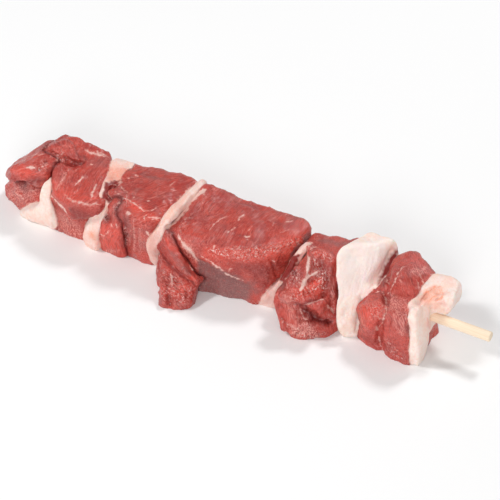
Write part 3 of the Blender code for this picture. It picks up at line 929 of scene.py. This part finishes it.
def copy_of_node(node, name):
    """The node's solid as a new object, its split corners joined."""
    bm = bmesh.new()
    bm.from_mesh(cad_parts[node].data)
    bmesh.ops.remove_doubles(bm, verts=bm.verts, dist=0.001 * MM)
    mesh = bpy.data.meshes.new(name)
    bm.to_mesh(mesh)
    bm.free()
    return new_object(name, mesh)


def close_on_stick(surface):
    """Draws the flesh in to the stick, where the solid keeps some room round it."""
    offset = surface.co[:, 1:] - STICK_AXIS[1:]
    distance = np.linalg.norm(offset, axis=1)
    near = (distance < STICK_RADIUS + STICK_ROOM) & (distance > 0.01)
    share = np.clip((distance[near] - STICK_RADIUS) / STICK_ROOM, 0, 1)
    target = STICK_RADIUS - STICK_BITE + share * (STICK_ROOM + STICK_BITE)
    surface.co[near, 1:] = STICK_AXIS[1:] + offset[near] * (target / distance[near])[:, None]


def fibre_frame(surface, fibre):
    """Unit vectors along the fibres and two ways across them."""
    start, end, fan = fibre
    path = cast(surface, [start, end])
    along = path.places[-1] - path.places[0]
    along /= np.linalg.norm(along)
    across = np.cross(along, VIEW_BACK)
    across /= np.linalg.norm(across)
    return path.places.mean(0), along, across, np.cross(along, across), fan


def grain_places(surface, axes, seed):
    """Each vertex's place in mm along and across the fibres, which wander a little."""
    centre, along, across, deep, fan = axes
    bend = np.stack([noise3(surface.co / FIBRE_BEND_SIZE, seed + i) for i in range(3)], 1)
    offset = surface.co - centre + bend * FIBRE_BEND
    lengthwise = offset @ along
    spread = np.clip(1 - fan * lengthwise, 0.5, 2)
    return np.stack([lengthwise, offset @ across * spread, offset @ deep], 1)


def sharpen(surface):
    """Makes edges stand out more and hollows lie deeper."""
    bulge = surface.bulge(SHARPEN_STEPS)
    surface.co += surface.normal * (np.clip(bulge, *SHARPEN_LIMITS) * SHARPEN)[:, None]
    surface.write()


def roughen(surface, size, height, seed):
    lumps = noise3(surface.co / size, seed) * height
    surface.co += surface.normal * lumps[:, None]


def keep_on_floor(surface):
    surface.co[:, 2] = np.maximum(surface.co[:, 2], FLOOR_LEVEL)


def build_piece(node, seed):
    """The node's solid as a fine, detailed surface."""
    surface = Surface(copy_of_node(node, "dressed_" + node))
    surface.remeshed(COARSE_VOXEL, COARSE_SMOOTHING)
    surface.co += surface.normal * SHELL
    surface.write()
    is_meat = node in FIBRES
    if is_meat:
        sharpen(surface)
    sculpt(surface, SHAPES.get(node, ()))
    surface.write()
    surface.remeshed(FINE_VOXEL, FINE_SMOOTHING)
    softness = 1.0 if is_meat else FAT_SOFTNESS
    paint(surface, MARKS.get(node, ()))
    paint_areas(surface, AREAS.get(node, ()))
    roughen(surface, LUMP_SIZE, LUMP_HEIGHT * softness, seed)
    roughen(surface, GRAIN_SIZE, GRAIN_HEIGHT * softness, seed + 50)
    surface.write()
    fibre = FIBRES[node] if is_meat else FAT_FIBRES[node]
    axes = fibre_frame(surface, fibre)
    grain = grain_places(surface, axes, seed) * FIBRE_SCALE
    strands = noise3(grain, seed + 7) + 0.5 * noise3(grain * 2.1, seed + 8)
    surface.co += surface.normal * (strands * FIBRE_HEIGHT * softness)[:, None]
    if is_meat:
        paint_hidden_sides(surface, axes[1], seed)
        edge = np.maximum(ease(surface.bulge(10), *RAGGED_EDGES), surface.layer("cut"))
        crumbs = noise3(surface.co / RAGGED_SIZE, seed + 9)
        crumbs += 0.7 * noise3(surface.co / (RAGGED_SIZE * 2.3), seed + 10)
        raised = edge * crumbs * RAGGED_HEIGHT + surface.layer("fat") * VEIN_HEIGHT
        surface.co += surface.normal * raised[:, None]
    close_on_stick(surface)
    keep_on_floor(surface)
    surface.write()
    surface.axes = axes
    surface.seed = seed
    surface.node = node
    return surface


def distance_to(surface, others, reach):
    """Each vertex's distance in mm to the nearest of the other surfaces, at most reach."""
    found = np.full(len(surface.co), float(reach))
    for other in others:
        low, high = other.co.min(0) - reach, other.co.max(0) + reach
        for i in np.nonzero(((surface.co > low) & (surface.co < high)).all(1))[0]:
            hit = other.tree.find_nearest(Vector(surface.co[i]) * MM, found[i] * MM)
            if hit[0]:
                found[i] = min(found[i], hit[3] / MM)
    return found


# -------- materials


class Graph:
    """A material's nodes, made by short calls."""

    def __init__(self, name):
        self.material = bpy.data.materials.new(name)
        self.material.use_nodes = True
        self.tree = self.material.node_tree
        self.shader = self.tree.nodes["Principled BSDF"]

    def add(self, kind, inputs=(), **settings):
        node = self.tree.nodes.new(kind)
        for key, value in settings.items():
            setattr(node, key, value)
        for key, value in dict(inputs).items():
            self.feed(node.inputs[key], value)
        return node

    def feed(self, socket, value):
        if isinstance(value, bpy.types.NodeSocket):
            self.tree.links.new(value, socket)
        else:
            socket.default_value = value

    def painted(self, name, output="Fac"):
        return self.add("ShaderNodeAttribute", attribute_name=name).outputs[output]

    def maths(self, operation, one, other=0.0):
        return self.add("ShaderNodeMath", {0: one, 1: other}, operation=operation).outputs[0]

    def times(self, one, other):
        return self.maths("MULTIPLY", one, other)

    def scaled(self, vector, scale):
        node = self.add("ShaderNodeVectorMath", {0: vector, 1: scale}, operation="MULTIPLY")
        return node.outputs[0]

    def noise(self, vector, scale, detail=2.0, roughness=0.5):
        inputs = {"Vector": vector, "Scale": scale, "Detail": detail, "Roughness": roughness}
        return self.add("ShaderNodeTexNoise", inputs).outputs["Fac"]

    def between(self, value, low, high, to_low=0.0, to_high=1.0):
        inputs = {0: value, 1: low, 2: high, 3: to_low, 4: to_high}
        node = self.add("ShaderNodeMapRange", inputs, interpolation_type="SMOOTHSTEP")
        return node.outputs[0]

    def mix(self, factor, one, other):
        node = self.add("ShaderNodeMix", data_type="RGBA")
        self.feed(node.inputs[0], factor)
        self.feed(node.inputs[6], one)
        self.feed(node.inputs[7], other)
        return node.outputs[2]

    def tint(self, colour, tone, where, strength=None):
        """The colour turned to a tone where the value is 1, or as far as the strength goes."""
        return self.mix(where if strength is None else self.times(where, strength), colour, tone)

    def bump(self, height, strength, distance, normal=None):
        inputs = {"Height": height, "Strength": strength, "Distance": distance * MM}
        node = self.add("ShaderNodeBump", inputs)
        if normal:
            self.feed(node.inputs["Normal"], normal)
        return node.outputs[0]

    def shade(self, **inputs):
        for key, value in inputs.items():
            self.feed(self.shader.inputs[key.replace("_", " ")], value)


PER_MM = (1 / MM, 1 / MM, 1 / MM)

DEEP_RED = (0.15, 0.010, 0.010, 1)
DARK_RED = (0.44, 0.044, 0.034, 1)
RED = (0.57, 0.059, 0.040, 1)
BRIGHT_RED = (0.80, 0.078, 0.048, 1)
PALE_PINK = (0.80, 0.32, 0.27, 1)
SILVER = (0.25, 0.085, 0.080, 1)
PALE_SILVER = (0.40, 0.175, 0.165, 1)
FLECK_AND_GLINT = (0.80, 0.42, 0.37, 1)
PAINTED_GLINT = (0.98, 0.74, 0.68, 1)
MARBLING = (0.93, 0.66, 0.58, 1)

CREAM = (0.99, 0.85, 0.78, 1)
WARM_CREAM = (0.95, 0.62, 0.50, 1)
PAINTED_LIGHT_FAT = (1.0, 0.84, 0.79, 1)
FAT_SHADE = (0.26, 0.016, 0.012, 1)
BLUSH = (0.80, 0.28, 0.22, 1)
STAIN = (0.93, 0.36, 0.22, 1)

PALE_WOOD = (0.95, 0.79, 0.60, 1)
WOOD_LINE = (0.86, 0.64, 0.43, 1)
WOOD_STAIN = (0.90, 0.50, 0.38, 1)


def meat_material():
    g = Graph("raw_meat_finish")
    place = g.scaled(g.add("ShaderNodeTexCoord").outputs["Object"], PER_MM)
    grain = g.painted("grain", "Vector")
    fibres = g.noise(g.scaled(grain, (0.10, 1.5, 1.5)), 1.0, 3.0, 0.6)
    threads = g.noise(g.scaled(grain, (0.17, 2.4, 2.4)), 1.0, 2.0, 0.6)
    patches = g.noise(place, 0.13, 3.0, 0.55)
    mottle = g.noise(place, 0.75, 3.0, 0.6)
    specks = g.noise(place, 2.6, 2.0, 0.7)

    colour = g.mix(g.between(patches, 0.38, 0.62), DARK_RED, RED)
    colour = g.tint(colour, BRIGHT_RED, g.between(mottle, 0.45, 0.70), 0.20)
    colour = g.tint(colour, BRIGHT_RED, g.painted("bright"), 0.85)
    colour = g.tint(colour, PALE_PINK, g.between(fibres, 0.54, 0.68), 0.28)
    colour = g.tint(colour, DEEP_RED, g.between(threads, 0.45, 0.35), 0.50)
    colour = g.tint(colour, PALE_PINK, g.between(threads, 0.58, 0.66), 0.30)

    # Painted sheen: pale streaks along the fibres where this layer is painted, partly pale fibre as
    # well.
    sheen_streaks = g.times(g.painted("sheen_streaks"), g.between(threads, 0.44, 0.60, 0.05, 1.0))
    colour = g.tint(colour, PALE_PINK, sheen_streaks)
    silver = g.times(g.painted("silver"), g.between(mottle, 0.30, 0.55, 0.65, 1.0))
    silver_colour = g.mix(g.between(specks, 0.45, 0.7), SILVER, PALE_SILVER)
    colour = g.tint(colour, silver_colour, silver)
    # Painted shade: darker red in creases, gaps, hollows, under overhangs and on faces that get less
    # light.
    colour = g.tint(colour, DEEP_RED, g.painted("deep"), 0.75)

    cut = g.painted("cut")
    flecks = g.noise(g.scaled(grain, (0.55, 1.5, 1.5)), 1.0, 2.0, 0.7)
    crumbs = g.noise(place, 0.95, 2.0, 0.6)
    glints = g.noise(place, 1.5, 3.0, 0.7)
    # On the cut edges: pale flecks, partly fat and partly painted glints, darker crumbs and small
    # painted glints.
    colour = g.tint(colour, FLECK_AND_GLINT, g.times(cut, g.between(flecks, 0.53, 0.66)), 0.6)
    colour = g.tint(colour, DEEP_RED, g.times(cut, g.between(crumbs, 0.46, 0.34)), 0.28)
    colour = g.tint(colour, PAINTED_GLINT, g.times(cut, g.between(glints, 0.57, 0.63)), 0.90)
    colour = g.tint(colour, PALE_PINK, g.between(flecks, 0.66, 0.74), 0.45)

    broken = g.maths("ADD", g.painted("fat"), g.between(mottle, 0.25, 0.75, -0.25, 0.25))
    broken = g.maths("ADD", broken, g.between(specks, 0.25, 0.75, -0.15, 0.15))
    colour = g.tint(colour, PALE_PINK, g.between(broken, 0.0, 0.5), 0.30)
    colour = g.tint(colour, MARBLING, g.between(broken, 0.30, 1.0), 0.80)

    wet = g.maths("MAXIMUM", cut, g.between(mottle, 0.48, 0.68))
    rough = g.between(wet, 0.0, 1.0, 0.45, 0.20)
    relief = g.bump(fibres, 0.7, 0.6)
    relief = g.bump(threads, 0.6, 0.35, relief)
    relief = g.bump(specks, 0.6, 0.35, relief)
    relief = g.bump(g.times(cut, crumbs), 0.8, 0.8, relief)
    wet_skin = g.bump(crumbs, 0.45, 0.50, g.bump(threads, 0.70, 0.40))
    g.shade(
        Base_Color=colour,
        Roughness=rough,
        Normal=relief,
        IOR=1.40,
        Specular_IOR_Level=0.30,
        Subsurface_Weight=0.06,
        Subsurface_Radius=(1.0, 0.25, 0.18),
        Subsurface_Scale=0.8 * MM,
        Coat_Weight=0.70,
        Coat_Roughness=0.13,
        Coat_Normal=wet_skin,
    )
    return g.material


def fat_material():
    g = Graph("raw_fat_finish")
    place = g.scaled(g.add("ShaderNodeTexCoord").outputs["Object"], PER_MM)
    grain = g.painted("grain", "Vector")
    sheets = g.noise(g.scaled(grain, (0.08, 0.9, 0.9)), 1.0, 3.0, 0.6)
    patches = g.noise(place, 0.16, 3.0, 0.5)
    lobules = g.add("ShaderNodeTexVoronoi", {"Vector": place, "Scale": 0.85}).outputs["Distance"]
    specks = g.noise(place, 2.4, 2.0, 0.6)

    colour = g.tint(CREAM, WARM_CREAM, g.between(patches, 0.42, 0.68), 0.45)
    colour = g.tint(colour, WARM_CREAM, g.between(sheets, 0.54, 0.70), 0.45)
    colour = g.tint(colour, WARM_CREAM, g.between(lobules, 0.50, 0.75), 0.35)
    uneven = g.between(specks, 0.35, 0.65, 0.55, 1.1)
    colour = g.tint(colour, BLUSH, g.times(g.painted("blush"), uneven), 0.62)
    colour = g.tint(colour, STAIN, g.times(g.painted("stain"), uneven), 0.55)
    # Painted light: paler where this layer is painted, on a face turned away from the lamps.
    colour = g.tint(colour, PAINTED_LIGHT_FAT, g.painted("painted_light"), 0.8)
    colour = g.tint(colour, FAT_SHADE, g.painted("deep"))

    rough = g.between(patches, 0.3, 0.7, 0.38, 0.52)
    relief = g.bump(sheets, 0.35, 0.5)
    relief = g.bump(lobules, 0.25, 0.4, relief)
    relief = g.bump(specks, 0.35, 0.25, relief)
    g.shade(
        Base_Color=colour,
        Roughness=rough,
        Normal=relief,
        IOR=1.45,
        Subsurface_Weight=0.30,
        Subsurface_Radius=(1.0, 0.45, 0.30),
        Subsurface_Scale=1.6 * MM,
        Coat_Weight=0.12,
        Coat_Roughness=0.28,
    )
    return g.material


def wood_material():
    g = Graph("pale_wood_finish")
    place = g.scaled(g.add("ShaderNodeTexCoord").outputs["Object"], PER_MM)
    grain = g.noise(g.scaled(place, (0.06, 3.0, 3.0)), 1.0, 3.0, 0.6)
    pores = g.noise(g.scaled(place, (0.5, 7.0, 7.0)), 1.0, 2.0, 0.5)
    colour = g.tint(PALE_WOOD, WOOD_LINE, g.between(grain, 0.42, 0.68), 0.55)
    colour = g.tint(colour, WOOD_LINE, g.between(pores, 0.60, 0.75), 0.35)
    stain = g.times(g.painted("stain"), g.between(grain, 0.3, 0.7, 0.5, 1.0))
    colour = g.tint(colour, WOOD_STAIN, stain, 0.6)
    relief = g.bump(grain, 0.35, 0.2)
    relief = g.bump(pores, 0.25, 0.1, relief)
    g.shade(Base_Color=colour, Roughness=0.62, Normal=relief)
    return g.material


# -------- putting the pieces together


def finish_piece(surface, node, material):
    surface.store()
    obj = surface.obj
    obj.data.shade_smooth()
    obj.data.materials.clear()
    obj.data.materials.append(material)
    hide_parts(node)
    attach(obj, "root")


def press_fat(surface, meats):
    """Swells fat towards the meat that it touches, and reddens it there."""
    gap = distance_to(surface, meats, FAT_REACH)
    surface.co += surface.normal * (ease(gap, *FAT_SWELLS) * FAT_SWELL)[:, None]
    keep_on_floor(surface)
    surface.write()
    uneven = noise3(surface.co / 1.6, surface.seed) * 0.5
    surface.at_least("blush", ease(gap + uneven, *FAT_BLUSHES) * 0.55)
    cloud = 0.85 + 0.3 * noise3(surface.co / 4.0, surface.seed + 3)
    surface.at_least("blush", FAT_BLUSH[surface.node] * cloud)


def press_meat(surface, meats, fats):
    """Swells meat towards its neighbours, with painted shade in the creases and shreds of fat
    between them.
    """
    others = [other for other in meats if other is not surface]
    crease = ease(distance_to(surface, others, CREASES[0]), *CREASES)
    surface.co += surface.normal * (crease * MEAT_SWELL)[:, None]
    keep_on_floor(surface)
    surface.write()
    # Painted shade where the chunk meets another.
    surface.at_least("deep", crease)
    gap = distance_to(surface, fats, CLING_REACH)
    uneven = noise3(surface.co / 1.3, surface.seed) * 0.45
    surface.at_least("fat", ease(gap + uneven, *FAT_CLINGS) * 0.62)


def paint_all_over(surface):
    """Paints shade into a chunk's hollows, wets its edges, which get painted glints, and paints a
    pale sheen on some of it.
    """
    # Painted shade in the hollows.
    hollow = ease(-surface.averaged(surface.bulge(24), 2), 0.10, 0.55)
    surface.at_least("deep", hollow * 0.6)
    surface.at_least("cut", ease(surface.bulge(16), 0.12, 0.45) * 0.45)
    patches = noise3(surface.co / 5.0, surface.seed + 20)
    # Painted sheen in patches.
    surface.at_least("sheen_streaks", ease(patches, 0.15, 0.7) * 0.15)


FIRST_SEED, SEED_STEP = 11, 3


def build_food():
    """Builds every piece of meat and fat, presses them together and gives them their looks."""
    meat, fat = meat_material(), fat_material()
    nodes = [*FIBRES, *FAT_FIBRES]
    surfaces = {node: build_piece(node, FIRST_SEED + SEED_STEP * i) for i, node in enumerate(nodes)}
    meats = [surfaces[node] for node in FIBRES]
    fats = [surfaces[node] for node in FAT_FIBRES]
    for surface in fats:
        press_fat(surface, meats)
    for surface in meats:
        press_meat(surface, meats, fats)
    for node, surface in surfaces.items():
        surface.paint["grain"] = grain_places(surface, surface.axes, surface.seed)
        is_meat = node in FIBRES
        if is_meat:
            paint_all_over(surface)
        for layer in ("silver", "bright") if is_meat else ("stain", "deep", "painted_light"):
            surface.layer(layer)
        material, slot = (meat, "raw_meat") if is_meat else (fat, "raw_fat")
        finish_piece(surface, node, material)
    return surfaces


STICK_SIDES = 40
STICK_STEP = 0.5
STICK_EDGE = 0.35
STICK_POINT = 12.0
STICK_TIP = 0.02
STICK_SHARP = math.radians(35)
STAIN_BEFORE = 12.0
STAIN_BEYOND = 2.0


def stick_rings():
    """Places along the stick and its radius there, from its point to its cut end."""
    start, end = STICK_LOW[0], STICK_HIGH[0]
    count = int((end - start) / STICK_STEP)
    rings = []
    for i in range(count - 1):
        x = start + (end - start) * i / count
        rings.append((x, STICK_RADIUS * min(1, max(STICK_TIP, (x - start) / STICK_POINT))))
    bevel = STICK_EDGE / 3
    rings += [(end - STICK_EDGE, STICK_RADIUS), (end - bevel, STICK_RADIUS - bevel)]
    rings += [(end, STICK_RADIUS - STICK_EDGE), (end, STICK_RADIUS / 2)]
    return rings


def build_stick(last_fat):
    """The stick again, with more sides, and stained where it leaves the fat."""
    rings = stick_rings()
    verts = []
    for x, reach in rings:
        for turn in np.arange(STICK_SIDES) * math.tau / STICK_SIDES:
            around = (reach * math.cos(turn), reach * math.sin(turn))
            verts.append(Vector((x, STICK_AXIS[1] + around[0], STICK_AXIS[2] + around[1])) * MM)
    faces = []
    for one in range(0, (len(rings) - 1) * STICK_SIDES, STICK_SIDES):
        other = one + STICK_SIDES
        for j in range(STICK_SIDES):
            k = (j + 1) % STICK_SIDES
            faces.append((one + j, one + k, other + k, other + j))
    faces.append(tuple(reversed(range(STICK_SIDES))))
    faces.append(tuple(range(len(verts) - STICK_SIDES, len(verts))))
    mesh = bpy.data.meshes.new("dressed_stick")
    mesh.from_pydata(verts, [], faces)
    obj = new_object("dressed_stick", mesh)
    mesh.validate()
    surface = Surface(obj)
    meat_end = last_fat.co[:, 0].max()
    leaving = ease(surface.co[:, 0], meat_end + STAIN_BEYOND, meat_end - STAIN_BEFORE)
    surface.paint["stain"] = leaving * (0.6 + 0.4 * noise3(surface.co / 2.0, 5))
    surface.store()
    mesh.shade_smooth()
    mesh.set_sharp_from_angle(angle=STICK_SHARP)
    mesh.materials.append(wood_material())
    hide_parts("stick")
    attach(obj, "root")


# -------- floor, lights and colour


FLOOR_SIZE = 3.0
FLOOR_WHITE = (0.96, 0.96, 0.96, 1)
WORLD_WHITE = (1.0, 1.0, 1.0, 1)
WORLD_STRENGTH = 0.32

# The lights' places and sizes in metres, and their power in watts.
LIGHTS = {
    "key": ((-0.70, -0.45, 0.85), 0.20, 5.5),
    "fill": ((0.45, -0.95, 0.50), 0.40, 5.4),
    "top": ((0.15, 0.65, 0.85), 0.20, 4.1),
}


def add_floor():
    g = Graph("floor_finish")
    g.shade(Base_Color=FLOOR_WHITE, Roughness=0.9)
    mesh = bpy.data.meshes.new("floor")
    corners = [(x * FLOOR_SIZE, y * FLOOR_SIZE, 0) for x, y in ((-1, -1), (1, -1), (1, 1), (-1, 1))]
    mesh.from_pydata(corners, [], [(0, 1, 2, 3)])
    mesh.materials.append(g.material)
    floor = new_object("floor", mesh)


def add_area(name, place, size, power):
    data = bpy.data.lights.new(name, "AREA")
    data.shape = "DISK"
    data.size = size
    data.energy = power
    aim(new_object(name, data), place, -Vector(place))


def add_lights():
    world = bpy.data.worlds.new("studio")
    world.use_nodes = True
    background = world.node_tree.nodes["Background"]
    background.inputs["Color"].default_value = WORLD_WHITE
    background.inputs["Strength"].default_value = WORLD_STRENGTH
    bpy.context.scene.world = world
    for name, settings in LIGHTS.items():
        add_area(name, *settings)


def set_colour():
    view = bpy.context.scene.view_settings
    view.view_transform = "Standard"
    view.look = "None"
    view.exposure = 0.0
    view.gamma = 1.0


add_camera()
surfaces = build_food()
build_stick(surfaces["fat_8"])
add_floor()
add_lights()
set_colour()

bpy.context.view_layer.update()
